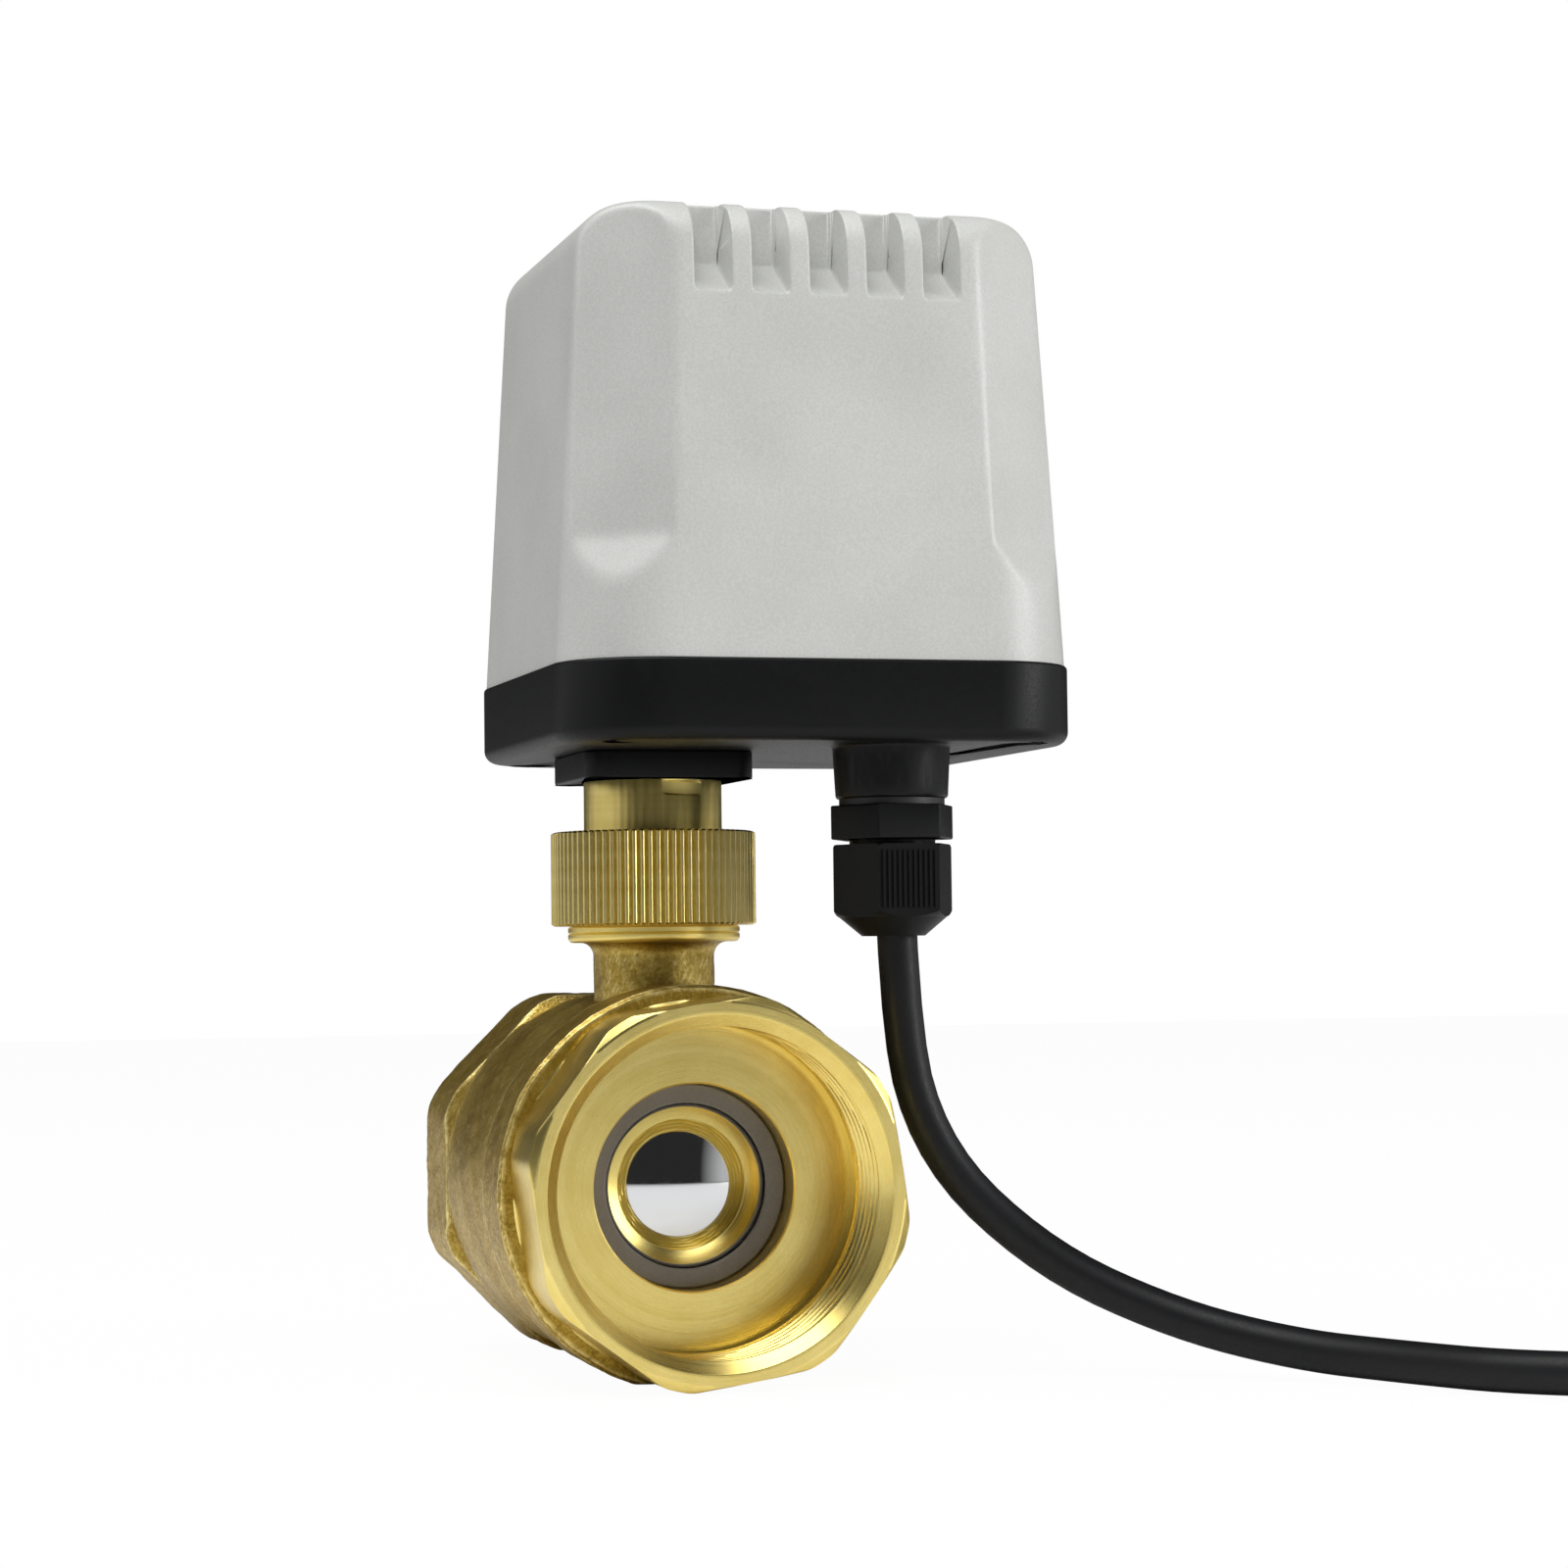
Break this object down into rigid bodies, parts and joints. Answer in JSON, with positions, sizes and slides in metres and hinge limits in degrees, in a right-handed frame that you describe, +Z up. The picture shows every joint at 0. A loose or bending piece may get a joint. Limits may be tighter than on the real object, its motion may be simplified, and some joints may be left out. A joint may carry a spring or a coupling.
{
  "type": "motorized ball valve",
  "caption": "Brass ball valve with threaded ports, turned by a geared electric actuator on its union nut, with a cable through a gland.",
  "frame": {"origin": "on the resting plane, straight below the ball's centre and on the stem's axis", "axes": "+Z up along the stem, -Y out of the front port, +Y out of the rear port, the actuator overhangs towards +X"},
  "size_m": [0.3039, 0.1693, 0.205],
  "materials": {
    "cast_brass": "sand cast, rough",
    "turned_brass": "turned, bright",
    "chromed_brass": "polished chrome plate",
    "seat_ptfe": "dark grey filled PTFE",
    "seal_rubber": "black rubber",
    "black_plastic": "fine texture moulding",
    "grey_plastic": "fine texture moulding",
    "zinc_steel": "zinc plated",
    "gear_nylon": "natural acetal",
    "motor_steel": "pressed can",
    "switch_red": "moulded",
    "board_green": "solder resist",
    "terminal_plastic": "moulded",
    "capacitor_sleeve": "shrink sleeve",
    "core_plastic": "core insulation",
    "cable_rubber": "rubber sheath"
  },
  "bodies": {
    "root": {"valve_body": "cast_brass", "end_cap": "turned_brass", "seat_front": "seat_ptfe", "seat_rear": "seat_ptfe", "body_seal": "seat_ptfe", "stem_thrust_washer": "seat_ptfe", "sleeve": "turned_brass", "mount_plate": "black_plastic", "plate_screws": "zinc_steel", "base": "black_plastic", "base_gasket": "seal_rubber", "cover": "grey_plastic", "cover_screws": "zinc_steel", "gland_body": "black_plastic", "gland_washer": "seal_rubber", "gland_seal": "seal_rubber", "gland_dome_nut": "black_plastic", "gland_locknut": "black_plastic", "shaft_bush": "turned_brass", "idler_pin": "zinc_steel", "gear_plate_lower": "zinc_steel", "gear_plate_upper": "zinc_steel", "gear_pillars": "zinc_steel", "pillar_nuts": "zinc_steel", "motor": "motor_steel", "motor_screws": "zinc_steel", "open_switch_body": "black_plastic", "shut_switch_body": "black_plastic", "switch_screws": "zinc_steel", "circuit_board": "board_green", "board_posts": "zinc_steel", "terminal_block": "terminal_plastic", "terminal_screws": "zinc_steel", "relay": "black_plastic", "capacitor": "capacitor_sleeve", "inner_leads": "core_plastic", "cable": "cable_rubber", "cable_coil": "cable_rubber", "core_ends": "core_plastic", "coil_ties": "black_plastic"},
    "turning_parts": {"ball": "chromed_brass", "stem": "turned_brass", "stem_o_rings": "seal_rubber", "output_shaft": "zinc_steel", "output_gear": "gear_nylon", "switch_cam": "gear_nylon"},
    "idler": {"idler_gear": "gear_nylon"},
    "motor_rotor": {"motor_pinion": "turned_brass"},
    "nut_carrier": {"nut_slip_ring": "seat_ptfe"},
    "nut": {"union_nut": "turned_brass"},
    "open_lever": {"open_switch_lever": "zinc_steel"},
    "open_plunger": {"open_switch_plunger": "switch_red"},
    "shut_lever": {"shut_switch_lever": "zinc_steel"},
    "shut_plunger": {"shut_switch_plunger": "switch_red"}
  },
  "joints": [
    {"name": "valve_turn", "type": "hinge", "parent": "root", "child": "turning_parts", "pos_m": [0, 0, 0], "axis": [0, 0, 1], "range_deg": [0, 90]},
    {"name": "idler_spin", "type": "hinge", "parent": "root", "child": "idler", "pos_m": [0.0255, 0, 0], "axis": [0, 0, 1], "range_deg": [-292.5, 0]},
    {"name": "motor_spin", "type": "hinge", "parent": "root", "child": "motor_rotor", "pos_m": [0.0487, 0, 0], "axis": [0, 0, 1], "range_deg": [0, 1121.25]},
    {"name": "nut_lift", "type": "slide", "parent": "root", "child": "nut_carrier", "axis": [0, 0, 1], "range_m": [0, 0.0045]},
    {"name": "nut_turn", "type": "hinge", "parent": "nut_carrier", "child": "nut", "pos_m": [0, 0, 0], "axis": [0, 0, 1], "range_deg": [0, 1080]},
    {"name": "open_lever_tilt", "type": "hinge", "parent": "root", "child": "open_lever", "pos_m": [0.009, 0.0136, 0], "axis": [0, 0, 1], "range_deg": [-4.5, 0], "stiffness_Nm_per_rad": 0.02},
    {"name": "open_plunger_slide", "type": "slide", "parent": "root", "child": "open_plunger", "axis": [0, 1, 0], "range_m": [0, 0.00055]},
    {"name": "shut_lever_tilt", "type": "hinge", "parent": "root", "child": "shut_lever", "pos_m": [0.009, -0.0136, 0], "axis": [0, 0, 1], "range_deg": [0, 4.5], "stiffness_Nm_per_rad": 0.02},
    {"name": "shut_plunger_slide", "type": "slide", "parent": "root", "child": "shut_plunger", "axis": [0, -1, 0], "range_m": [0, 0.00055]}
  ],
  "couplings": [
    {"joint": "idler_spin", "follows": "valve_turn", "ratio": -3.25},
    {"joint": "motor_spin", "follows": "valve_turn", "ratio": 12.458},
    {"joint": "nut_lift", "follows": "nut_turn", "m_per_rad": 0.00023873},
    {"joint": "open_plunger_slide", "follows": "open_lever_tilt", "m_per_rad": -0.007},
    {"joint": "shut_plunger_slide", "follows": "shut_lever_tilt", "m_per_rad": 0.007}
  ]
}
